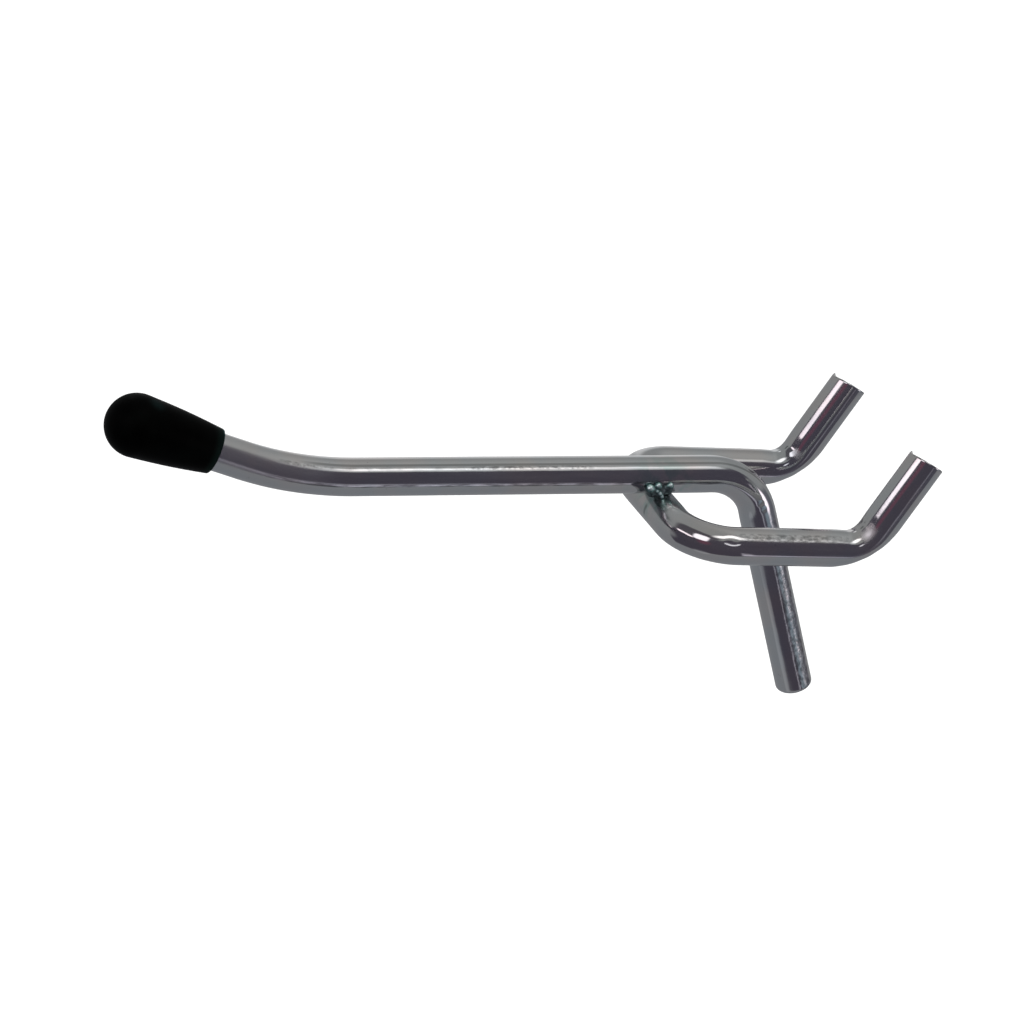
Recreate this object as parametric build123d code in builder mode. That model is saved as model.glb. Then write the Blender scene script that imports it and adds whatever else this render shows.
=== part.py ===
"""Double hook for a perforated display board: a capped arm wire on a U-shaped prong wire.

Millimetres, +Z up. The arm lies along X with its tip towards -X, and the board stands on the
+X side. The origin is midway between the two corners where the prongs turn up.
"""

import os
from math import asin, atan2, cos, hypot, radians, sin, tan

from build123d import *

# Arm wire: one length of round wire that makes the tip, the arm and the leg
arm_wire_diameter = 5.0
arm_length = 64.0  # from the rear corner to the corner of the tip
tip_length = 23.0
tip_rise = 18.5  # degrees above the arm
tip_bend_radius = 50.0
leg_length = 34.5
leg_fall = 67.8  # degrees below the line of the arm, running on to the rear
leg_bend_radius = 8.6
arm_end_chamfer = 0.5

# Prong wire: a U with its two ends turned up behind the board
prong_wire_diameter = 5.0
prong_pitch = 25.0  # between the centrelines of the two prongs
prong_reach = 25.0  # from the cross-piece to the corners of the prongs
prong_fall = 2.1  # degrees that the two legs of the U run down towards the board
cross_bend_radius = 6.7
prong_length = 14.6
prong_rise = 64.0  # degrees from the legs of the U
prong_bend_radius = 7.7
prong_end_slant = 9.5  # degrees that the shear leaned, so each end stands highest on its right
prong_end_chamfer = 0.2

# Welded cross joint: the arm sinks a little into the cross-piece
cross_setback = 12.8  # from the rear corner of the arm forwards to the cross-piece
weld_set_down = 0.72

# Weld metal: lumps beside the arm, each as its place along X and its rise, both from the crown
# of the cross-piece, and its radius
right_weld_lumps = [(-2.4, 0.9, 1.0), (-1.1, 0.9, 1.2), (0.4, 1.0, 1.0), (-0.8, 0.0, 1.0)]
left_weld_lumps = [(-1.9, 0.5, 1.0), (-0.6, 0.6, 1.2), (0.6, 0.4, 1.0)]

# Tip cap: soft vinyl, thin at its mouth and swelling to a round end
cap_depth = 11.3  # length of wire inside the cap
cap_clearance = 0.02
cap_mouth_wall = 0.53
cap_mouth_chamfer = 0.25
cap_end_wall = 4.4
cap_end_radius = 4.13

# Sizes that follow
arm_radius = arm_wire_diameter / 2
prong_radius = prong_wire_diameter / 2
cross_x = -prong_reach * cos(radians(prong_fall))
cross_z = prong_reach * sin(radians(prong_fall))
arm_z = cross_z + prong_radius + arm_radius - weld_set_down
rear_x = cross_x + cross_setback
tip_x = rear_x - arm_length
tip_run = Vector(-cos(radians(tip_rise)), 0, sin(radians(tip_rise)))
leg_run = Vector(cos(radians(leg_fall)), 0, -sin(radians(leg_fall)))
prong_run = Vector(cos(radians(prong_rise - prong_fall)), 0, sin(radians(prong_rise - prong_fall)))

rear_corner = Vector(rear_x, 0, arm_z)
tip_corner = Vector(tip_x, 0, arm_z)
tip_end = tip_corner + tip_run * tip_length
leg_end = rear_corner + leg_run * leg_length

os.makedirs("parts", exist_ok=True)

# Arm wire: round section along the tip, the arm, the rear bend and the leg
with BuildPart() as hook_arm:
    with BuildLine() as arm_line:
        FilletPolyline(
            tip_end,
            tip_corner,
            rear_corner,
            leg_end,
            radius=[tip_bend_radius, leg_bend_radius],
        )
    with BuildSketch(Plane(origin=arm_line.line @ 0, z_dir=arm_line.line % 0)):
        Circle(arm_radius)
    sweep(path=arm_line.line)
    chamfer(faces().filter_by(GeomType.PLANE).edges(), length=arm_end_chamfer)

# Prong wire: prong, leg, cross-piece, leg and prong, with both ends sheared off on the slant,
# and a saddle where the arm is sunk in
half_pitch = prong_pitch / 2
right_corner = Vector(0, -half_pitch, 0)
left_corner = Vector(0, half_pitch, 0)
shear_slope = tan(radians(prong_end_slant))
shear_facing = prong_run + Vector(0, shear_slope, 0)
shear_middle = prong_length - prong_radius * shear_slope
with BuildPart() as prong_wire:
    with BuildLine() as prong_line:
        FilletPolyline(
            right_corner + prong_run * prong_length,
            right_corner,
            Vector(cross_x, -half_pitch, cross_z),
            Vector(cross_x, half_pitch, cross_z),
            left_corner,
            left_corner + prong_run * prong_length,
            radius=[prong_bend_radius, cross_bend_radius, cross_bend_radius, prong_bend_radius],
        )
    with BuildSketch(Plane(origin=prong_line.line @ 0, z_dir=prong_line.line % 0)):
        Circle(prong_radius)
    sweep(path=prong_line.line)
    for corner in (right_corner, left_corner):
        with BuildSketch(Plane(origin=corner + prong_run * shear_middle, z_dir=shear_facing)):
            Circle(prong_wire_diameter)
        extrude(amount=prong_radius, mode=Mode.SUBTRACT)
    chamfer(faces().filter_by(GeomType.PLANE).edges(), length=prong_end_chamfer)
    add(hook_arm.part, mode=Mode.SUBTRACT)

# Weld metal: each side's lumps run together, with their poles along the arm, and fit the wires
crown_z = cross_z + prong_radius
lump_turn = (0, 90, 0)
with BuildPart() as weld_right:
    for along, rise, lump_radius in right_weld_lumps:
        with Locations((cross_x + along, -arm_radius, crown_z + rise)):
            Sphere(lump_radius, rotation=lump_turn)
    add(hook_arm.part, mode=Mode.SUBTRACT)
    add(prong_wire.part, mode=Mode.SUBTRACT)

with BuildPart() as weld_left:
    for along, rise, lump_radius in left_weld_lumps:
        with Locations((cross_x + along, arm_radius, crown_z + rise)):
            Sphere(lump_radius, rotation=lump_turn)
    add(hook_arm.part, mode=Mode.SUBTRACT)
    add(prong_wire.part, mode=Mode.SUBTRACT)

# Tip cap: half profile turned about the tip, with X along the tip and Y across it.
# The straight side runs from the mouth to where it meets the round end at a tangent.
bore_radius = arm_radius + cap_clearance
bore_length = cap_depth + cap_clearance
mouth_radius = bore_radius + cap_mouth_wall
cap_length = bore_length + cap_end_wall
end_centre = cap_length - cap_end_radius
side_slope = asin(cap_end_radius / hypot(end_centre, mouth_radius)) - atan2(mouth_radius, end_centre)
side_end = (end_centre - cap_end_radius * sin(side_slope), cap_end_radius * cos(side_slope))
cap_mouth = tip_end - tip_run * cap_depth
with BuildPart() as tip_cap:
    with BuildSketch(Plane(origin=cap_mouth, x_dir=tip_run, z_dir=(0, 1, 0))):
        with BuildLine():
            Polyline(
                (cap_length, 0),
                (bore_length, 0),
                (bore_length, bore_radius),
                (0, bore_radius),
                (0, mouth_radius),
                side_end,
            )
            RadiusArc(side_end, (cap_length, 0), cap_end_radius)
        make_face()
        mouth_rim = vertices().sort_by_distance((0, mouth_radius))[0]
        chamfer(mouth_rim, length=min(cap_mouth_chamfer, cap_mouth_wall / 2))
    revolve(axis=Axis(cap_mouth, tip_run))

hook_arm.part.label = "hook_arm"
prong_wire.part.label = "prong_wire"
weld_right.part.label = "weld_right"
weld_left.part.label = "weld_left"
tip_cap.part.label = "tip_cap"
for piece in (hook_arm, prong_wire, weld_right, weld_left, tip_cap):
    export_step(piece.part, f"parts/{piece.part.label}.step")
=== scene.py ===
"""Dressed scene of a double hook for a perforated display board.

A capped arm wire is welded on a U-shaped prong wire. Each piece is built here as a detailed
mesh in metres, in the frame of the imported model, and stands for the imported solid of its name.
"""

import logging
import math
from dataclasses import dataclass
from enum import Enum
from functools import reduce

import bmesh
import bpy
import numpy as np
from mathutils import Euler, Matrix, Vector, noise

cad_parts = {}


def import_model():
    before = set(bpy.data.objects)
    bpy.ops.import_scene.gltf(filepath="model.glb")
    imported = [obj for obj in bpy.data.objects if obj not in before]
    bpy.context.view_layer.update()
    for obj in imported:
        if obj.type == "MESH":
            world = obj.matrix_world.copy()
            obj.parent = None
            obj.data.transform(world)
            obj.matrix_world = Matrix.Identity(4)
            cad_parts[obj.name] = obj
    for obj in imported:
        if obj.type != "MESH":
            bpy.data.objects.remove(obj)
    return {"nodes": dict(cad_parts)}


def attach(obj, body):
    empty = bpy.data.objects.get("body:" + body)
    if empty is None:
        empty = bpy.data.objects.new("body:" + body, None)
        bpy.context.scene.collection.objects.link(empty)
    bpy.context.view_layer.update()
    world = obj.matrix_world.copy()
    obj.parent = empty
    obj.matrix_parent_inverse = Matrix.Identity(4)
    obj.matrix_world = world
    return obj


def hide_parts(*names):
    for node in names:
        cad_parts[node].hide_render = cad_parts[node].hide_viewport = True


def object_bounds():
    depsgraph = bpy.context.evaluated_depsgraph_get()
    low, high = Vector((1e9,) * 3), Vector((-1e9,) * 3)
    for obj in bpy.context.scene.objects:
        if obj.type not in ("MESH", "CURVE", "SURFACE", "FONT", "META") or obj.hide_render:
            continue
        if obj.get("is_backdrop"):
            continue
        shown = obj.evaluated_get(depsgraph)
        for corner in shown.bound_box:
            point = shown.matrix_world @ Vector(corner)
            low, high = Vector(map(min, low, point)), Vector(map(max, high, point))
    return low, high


LOG = logging.getLogger("double_hook")
MM = 0.001
WIRE_RADIUS = 2.5  # of both wires, in millimetres
DOUBLES = 0.001 * MM  # vertices closer than this are merged
RUN_ATTRIBUTE = "wire_run"
# Attribute that holds the painted highlight of the weld drops
PAINTED_HIGHLIGHT_ATTRIBUTE = "weld_painted_highlight"
Colour = tuple[float, float, float]
Point = tuple[float, float, float]
Range = tuple[float, float]
Socket = bpy.types.NodeSocket


class Slot(Enum):
    """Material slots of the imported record."""

    PLATED_WIRE = "plated_wire"
    WELD_METAL = "weld_metal"
    CAP_VINYL = "cap_vinyl"


class Side(Enum):
    """Side of the arm seen from its tip, as its direction along Y."""

    RIGHT = -1
    LEFT = 1


@dataclass(frozen=True)
class Cut:
    """What a cut leaves on a wire's end: a slope, and a drop, burr and grain in millimetres."""

    slope: float = 0.0
    drop: float = 0.0
    burr: float = 0.0
    grain: float = 0.12


class WireEnd(Enum):
    """How the two ends of a wire were cut."""

    SHEARED = Cut(slope=0.17, drop=0.32, burr=0.34, grain=0.3)
    TUMBLED = Cut()


def metres(place: Point | Vector) -> Point:
    """Turns a place in millimetres to metres."""
    return tuple(c * MM for c in place)


def slant(angle: float) -> Vector:
    """Direction in the XZ plane, turned up from +X by an angle in degrees."""
    return Vector((math.cos(math.radians(angle)), 0, math.sin(math.radians(angle))))


@dataclass(frozen=True)
class Pattern:
    """A noise pattern: waves for each metre, octaves, and waves along Z for each one across."""

    scale: float
    detail: float = 2.0
    along: float = 1.0


class Graph:
    """Adds nodes to a node tree and links them, with numbers or sockets as inputs."""

    def __init__(self, tree: bpy.types.NodeTree) -> None:
        """Empties a geometry, material or world tree and starts on it."""
        self.tree = tree
        self.tree.nodes.clear()

    def feed(self, socket: Socket, value: object) -> None:
        """Links a socket into an input, or sets the input's own value.

        Args:
            socket: The input.
            value: Another node's output, or a plain value.
        """
        if isinstance(value, Socket):
            self.tree.links.new(value, socket)
        else:
            socket.default_value = value

    def add(self, kind: str, inputs: dict | None = None, **settings: object) -> bpy.types.Node:
        """Adds one node.

        Args:
            kind: Blender's name for the node type.
            inputs: Values or sockets by input name or place.
            **settings: Properties of the node.

        Returns:
            The node.
        """
        node = self.tree.nodes.new(kind)
        for name, value in settings.items():
            setattr(node, name, value)
        for key, value in (inputs or {}).items():
            self.feed(node.inputs[key], value)
        return node

    def out(self, kind: str, inputs: dict | None = None, **settings: object) -> Socket:
        """Adds one node, as add does, and gives its first output."""
        return self.add(kind, inputs, **settings).outputs[0]

    def math(self, operation: str, *values: object) -> Socket:
        """Adds a Math node that works on the values in order."""
        return self.out("ShaderNodeMath", dict(enumerate(values)), operation=operation)

    def plus(self, *terms: object) -> Socket:
        """Sum of the terms."""
        return reduce(lambda left, right: self.math("ADD", left, right), terms)

    def minus(self, whole: object, part: object) -> Socket:
        """First number less the second."""
        return self.math("SUBTRACT", whole, part)

    def times(self, *factors: object) -> Socket:
        """Product of the factors."""
        return reduce(lambda left, right: self.math("MULTIPLY", left, right), factors)

    def vector(self, operation: str, *values: object) -> Socket:
        """Adds a Vector Math node, whose second value is the factor when it scales.

        Args:
            operation: Blender's name for the operation.
            *values: Its inputs in order.

        Returns:
            The result: a number for a dot product or length, else a vector.
        """
        node = self.add("ShaderNodeVectorMath", operation=operation)
        for place, value in enumerate(values):
            self.feed(node.inputs["Scale" if operation == "SCALE" and place else place], value)
        return node.outputs["Value" if operation in ("DOT_PRODUCT", "LENGTH") else "Vector"]

    def combine(self, x: object, y: object, z: object) -> Socket:
        """Joins three numbers to a vector."""
        return self.out("ShaderNodeCombineXYZ", {0: x, 1: y, 2: z})

    def split(self, vector: Socket) -> list[Socket]:
        """X, Y and Z of a vector."""
        return list(self.add("ShaderNodeSeparateXYZ", {0: vector}).outputs)

    def step(self, value: Socket, low: object, high: object) -> Socket:
        """Rises smoothly from 0 where the value is low to 1 where it is high."""
        inputs = {"Value": value, "From Min": low, "From Max": high}
        return self.out("ShaderNodeMapRange", inputs, interpolation_type="SMOOTHSTEP")

    def remap(self, value: object, given: Range, made: Range) -> Socket:
        """Runs evenly over the made range while the value runs over the given one."""
        return self.out("ShaderNodeMapRange", dict(enumerate((value, *given, *made))))

    def place(self) -> Socket:
        """The object's own coordinates."""
        return self.add("ShaderNodeTexCoord").outputs["Object"]

    def noise(self, where: Socket, pattern: Pattern) -> Socket:
        """Adds a Noise Texture.

        Args:
            where: The coordinates.
            pattern: How fine it is.

        Returns:
            The pattern's value, from 0 to 1 with its middle at 0.5.
        """
        if pattern.along != 1:
            where = self.vector("MULTIPLY", where, (1, 1, pattern.along))
        inputs = {"Vector": where, "Scale": pattern.scale, "Detail": pattern.detail}
        return self.out("ShaderNodeTexNoise", inputs)

    def patch(self, place: Socket, middle: Point, reach: Range) -> Socket:
        """Share of a round patch that fades out.

        Args:
            place: The coordinates.
            middle: The patch's middle in millimetres.
            reach: Where it ends and where it is full, in millimetres from its middle.

        Returns:
            The share, from 0 to 1.
        """
        apart = self.vector("LENGTH", self.vector("SUBTRACT", place, metres(middle)))
        return self.step(apart, reach[0] * MM, reach[1] * MM)

    def blend(self, share: Socket, first: Socket, second: Colour) -> Socket:
        """Mixes a share of a fixed second colour into the first."""
        inputs = {0: share, 6: first, 7: (*second, 1.0)}
        return self.add("ShaderNodeMix", inputs, data_type="RGBA").outputs[2]

    def ramp(self, value: Socket, stops: list[tuple[float, Colour]]) -> Socket:
        """Adds a Color Ramp.

        Args:
            value: The place on the ramp.
            stops: Each stop's place and colour, in rising order.

        Returns:
            The colour.
        """
        node = self.add("ShaderNodeValToRGB", {0: value})
        marks = node.color_ramp.elements
        while len(marks) < len(stops):
            marks.new(1.0)
        for mark, (place, colour) in zip(marks, stops):
            mark.position = place
            mark.color = (*colour, 1.0)
        return node.outputs[0]

    def bump(self, height: Socket, depth: float, under: Socket | None = None) -> Socket:
        """Adds a Bump node.

        Args:
            height: The relief, from 0 to 1.
            depth: How deep it is, in millimetres.
            under: The normal that it changes, if not the surface's own.

        Returns:
            The changed normal.
        """
        inputs = {"Strength": 1.0, "Distance": depth * MM, "Height": height}
        if under is not None:
            inputs["Normal"] = under
        return self.out("ShaderNodeBump", inputs)


@dataclass(frozen=True)
class Band:
    """A strip of a wire's surface: its stretch in millimetres and its side in degrees."""

    SIDE_FADE = (1.4, 0.6)  # shares of the spread where the strip ends and where it is full
    ALL_ROUND = 180.0

    middle: float
    half: float
    side: float = 0.0
    spread: float = ALL_ROUND
    fade: float = 5.0

    def share(self, graph: Graph, run: Socket) -> Socket:
        """How far a place is in the strip, which fades out at its ends.

        Args:
            graph: The material's graph.
            run: The wire's straightened coordinates.

        Returns:
            The share, from 0 to 1.
        """
        apart = graph.math("ABSOLUTE", graph.minus(graph.split(run)[2], self.middle * MM))
        stretch = graph.step(apart, (self.half + self.fade) * MM, self.half * MM)
        if self.spread >= self.ALL_ROUND:
            return stretch
        side = math.radians(self.side)
        flank = graph.vector("NORMALIZE", graph.vector("MULTIPLY", run, (1, 1, 0)))
        flank = graph.vector("DOT_PRODUCT", flank, (math.cos(side), math.sin(side), 0))
        far, near = (math.cos(math.radians(self.spread * share)) for share in self.SIDE_FADE)
        return graph.times(stretch, graph.step(flank, far, near))


@dataclass(frozen=True)
class Mark:
    """Painted dark specks in a strip, which break up the wire's reflections: what they leave of
    the colour, and their length over their width.
    """

    band: Band
    low: float
    length: float


@dataclass(frozen=True, kw_only=True)
class Finish:
    """A procedural finish: each kind adds its patterns and gives the inputs of the shader."""

    name: str

    def surface(self, graph: Graph) -> dict[str, object]:
        """Adds the patterns, and gives the shader's inputs by name."""
        raise NotImplementedError

    def build(self) -> bpy.types.Material:
        """Builds the material.

        Returns:
            The material.
        """
        material = bpy.data.materials.new(self.name)
        material.use_nodes = True
        graph = Graph(material.node_tree)
        shader = graph.out("ShaderNodeBsdfPrincipled", self.surface(graph))
        graph.add("ShaderNodeOutputMaterial", {0: shader})
        return material


@dataclass(frozen=True, kw_only=True)
class PlatedWireFinish(Finish):
    """Bright plating on drawn steel wire, with heights and reaches in millimetres."""

    DARKENING = (0.36, 0.62)  # noise from where it darkens most to where it darkens least
    BRIGHTENING = 0.1  # what the noise adds to the colour at its highest

    grainy: Band
    # Painted reflection detail: dark specks along the wire's reflected lines
    marks: tuple[Mark, ...] = ()
    # Dark lines: small scratches, and painted dark lines that stand in for thin dark reflections
    scratches_and_painted_lines: tuple[Band, ...] = ()
    dull: tuple[Band, ...] = ()
    cool: Colour = (0.585, 0.6, 0.615)
    warm: Colour = (0.63, 0.605, 0.6)
    speck: Colour = (0.34, 0.34, 0.35)
    heat: Colour = (0.4, 0.53, 0.51)
    patches: Pattern = Pattern(160)
    pits: Pattern = Pattern(2600, 1)
    clouds: Pattern = Pattern(520)
    streaks: Pattern = Pattern(1100, 2, 0.06)
    lines: Pattern = Pattern(3200, 3, 0.02)
    grain: Pattern = Pattern(3400)
    mottle: Pattern = Pattern(2000, 2, 0.6)
    speck_scale: float = 2200
    line_height: float = 0.0022
    grain_height: float = 0.0012
    mottle_height: float = 0.03
    mottle_low: float = 0.5
    # What the dark lines leave of the colour: scratches and painted dark reflection lines
    scratch_and_painted_line_low: float = 0.6
    roughness: Range = (0.06, 0.15)
    grain_dulling: float = 0.06
    dulling: float = 0.11
    warmed: float = 0.0
    weld_place: Point = (-25.6, -2.6, 3.9)
    heat_reach: Range = (6.5, 1.5)
    heat_share: float = 0.8
    warm_reach: Range = (8, 5)

    def _vary(
        self, graph: Graph, colour: Socket, share: Socket, pattern: object, low: float
    ) -> Socket:
        """Darkens a colour unevenly.

        Args:
            graph: The material's graph.
            colour: The colour.
            share: How much of the change is taken.
            pattern: The noise that it follows.
            low: What is left of the colour where the noise is lowest.

        Returns:
            The changed colour.
        """
        part = graph.remap(pattern, self.DARKENING, (low - 1, self.BRIGHTENING))
        return graph.vector("SCALE", colour, graph.math("MULTIPLY_ADD", share, part, 1))

    def _colour(self, graph: Graph, run: Socket, place: Socket) -> Socket:
        """The plating's own colour, with its pits and with the heat beside the weld.

        Args:
            graph: The material's graph.
            run: The wire's straightened coordinates.
            place: The object's coordinates.

        Returns:
            The colour.
        """
        tone = graph.ramp(graph.noise(run, self.patches), [(0.38, self.cool), (0.62, self.warm)])
        hot = graph.times(
            graph.patch(place, self.weld_place, self.heat_reach),
            graph.step(graph.noise(place, self.clouds), 0.42, 0.6),
            self.heat_share,
        )
        tone = graph.blend(hot, tone, self.heat)
        return graph.blend(graph.step(graph.noise(run, self.pits), 0.76, 0.84), tone, self.speck)

    def surface(self, graph: Graph) -> dict[str, object]:
        """Follows the wire's own straightened coordinates.

        Args:
            graph: The material's graph.

        Returns:
            The shader's inputs.
        """
        run = graph.add("ShaderNodeAttribute", attribute_name=RUN_ATTRIBUTE).outputs["Vector"]
        place = graph.place()
        mottle = graph.noise(run, self.mottle)
        grainy = self.grainy.share(graph, run)
        colour = self._colour(graph, run, place)
        colour = self._vary(graph, colour, grainy, mottle, self.mottle_low)
        # Painted reflection detail: dark specks along the reflected lines
        for mark in self.marks:
            specks = graph.noise(run, Pattern(self.speck_scale, 2, 1 / mark.length))
            colour = self._vary(graph, colour, mark.band.share(graph, run), specks, mark.low)
        # Dark lines: scratches, and painted dark reflection lines
        for band in self.scratches_and_painted_lines:
            colour = self._vary(graph, colour, band.share(graph, run), 0.0, self.scratch_and_painted_line_low)
        rough = graph.remap(graph.noise(run, self.streaks), (0.35, 0.7), self.roughness)
        for band in self.dull:
            rough = graph.plus(rough, graph.times(band.share(graph, run), self.dulling))
        warmed = graph.patch(place, self.weld_place, self.warm_reach)
        rough = graph.plus(
            rough, graph.times(grainy, self.grain_dulling), graph.times(warmed, self.warmed)
        )
        drawn = graph.bump(graph.noise(run, self.lines), self.line_height)
        grained = graph.bump(graph.noise(run, self.grain), self.grain_height, drawn)
        normal = graph.bump(graph.times(mottle, grainy), self.mottle_height, grained)
        return {"Base Color": colour, "Metallic": 1.0, "Roughness": rough, "Normal": normal}


@dataclass(frozen=True, kw_only=True)
class WeldFinish(Finish):
    """Plated weld metal: dark, with a painted highlight on the upper outward side of each drop,
    white in its middle and blue-green at its edge.
    """

    name: str = "plated_weld_metal"
    dark: Colour = (0.1, 0.13, 0.135)
    tint: Colour = (0.22, 0.4, 0.38)
    # Colour of the painted highlight on the weld drops
    bright: Colour = (0.85, 1.0, 0.98)
    clouds: Pattern = Pattern(900, 1)
    cloud_share: float = 0.5
    roughness: Range = (0.28, 0.4)

    def surface(self, graph: Graph) -> dict[str, object]:
        """Follows object coordinates and each drop's painted highlight.

        Args:
            graph: The material's graph.

        Returns:
            The shader's inputs.
        """
        painted_highlight = graph.add("ShaderNodeAttribute", attribute_name=PAINTED_HIGHLIGHT_ATTRIBUTE).outputs["Fac"]
        clouds = graph.noise(graph.place(), self.clouds)
        level = graph.math("MULTIPLY_ADD", graph.minus(clouds, 0.5), self.cloud_share, painted_highlight)
        # Painted highlight: blue-green, then white, where a drop's painted highlight is strong
        stops = [(0.2, self.dark), (0.5, self.tint), (0.85, self.bright)]
        return {
            "Base Color": graph.ramp(level, stops),
            "Metallic": 1.0,
            "Roughness": graph.remap(clouds, (0.3, 0.7), self.roughness),
        }


@dataclass(frozen=True, kw_only=True)
class VinylFinish(Finish):
    """Soft black vinyl from a dip mould: satin, blue-green where it thins out at its mouth, and
    with a painted blue-green reflection on one patch.

    Places, heights and reaches are in millimetres.
    """

    name: str = "black_dipped_vinyl"
    mouth: Vector
    direction: Vector
    base: Colour = (0.00015, 0.00015, 0.00015)
    worn: Colour = (0.0004, 0.0006, 0.0005)
    thin: Colour = (0.0016, 0.0045, 0.0038)
    thin_reach: Range = (2.2, 0.8)
    lip: Colour = (0.008, 0.024, 0.026)
    lip_reach: Range = (0.75, 0.45)
    # Painted reflection: a faint blue-green patch painted on one place of the cap
    painted_sheen: Colour = (0.0015, 0.0048, 0.0048)
    painted_sheen_place: Point = (-96.3, -1.05, 16.1)
    painted_sheen_reach: Range = (1.6, 0.2)
    clouds: Pattern = Pattern(260, 3)
    swell: Pattern = Pattern(420, 1)
    swell_height: float = 0.02
    skin: Pattern = Pattern(2600)
    skin_height: float = 0.003
    roughness: Range = (0.36, 0.5)
    gloss: float = 0.02

    def surface(self, graph: Graph) -> dict[str, object]:
        """Follows object coordinates.

        Args:
            graph: The material's graph.

        Returns:
            The shader's inputs.
        """
        place = graph.place()
        clouds = graph.noise(place, self.clouds)
        colour = graph.ramp(clouds, [(0.42, self.base), (0.7, self.worn)])
        # Painted reflection on one patch
        painted_sheen = graph.patch(place, self.painted_sheen_place, self.painted_sheen_reach)
        colour = graph.blend(painted_sheen, colour, self.painted_sheen)
        inward = graph.vector("SUBTRACT", place, metres(self.mouth))
        inward = graph.vector("DOT_PRODUCT", inward, self.direction)
        for tint, (end, full) in ((self.thin, self.thin_reach), (self.lip, self.lip_reach)):
            colour = graph.blend(graph.step(inward, end * MM, full * MM), colour, tint)
        wavy = graph.bump(graph.noise(place, self.swell), self.swell_height)
        return {
            "Base Color": colour,
            "Roughness": graph.remap(clouds, (0.3, 0.7), self.roughness),
            "Specular IOR Level": self.gloss,
            "Normal": graph.bump(graph.noise(place, self.skin), self.skin_height, wavy),
        }


@dataclass(frozen=True, kw_only=True)
class FloorFinish(Finish):
    """Pale matt paper for the studio floor."""

    name: str = "pale_paper"
    low: Colour = (0.9, 0.9, 0.9)
    high: Colour = (0.93, 0.93, 0.93)
    clouds: Pattern = Pattern(40)

    def surface(self, graph: Graph) -> dict[str, object]:
        """Follows object coordinates.

        Args:
            graph: The material's graph.

        Returns:
            The shader's inputs.
        """
        clouds = graph.noise(graph.place(), self.clouds)
        colour = graph.ramp(clouds, [(0.4, self.low), (0.6, self.high)])
        return {"Base Color": colour, "Roughness": 1.0, "Specular IOR Level": 0.0}


@dataclass(frozen=True)
class OutlinePlace:
    """Where a grid point lies on a wire's outline: end face, rim, wall, rim and end face."""

    half: Socket  # way along the outline from the middle of the nearer end
    face: Socket  # the same for the edge of the flat end face
    edge: Socket  # the same for where the rim meets the wall
    far: Socket  # 1 in the second half of the outline, else 0
    angle: Socket  # turn about the wire
    reach: Socket  # distance from the centre line
    station: Socket  # length along the centre line


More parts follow.
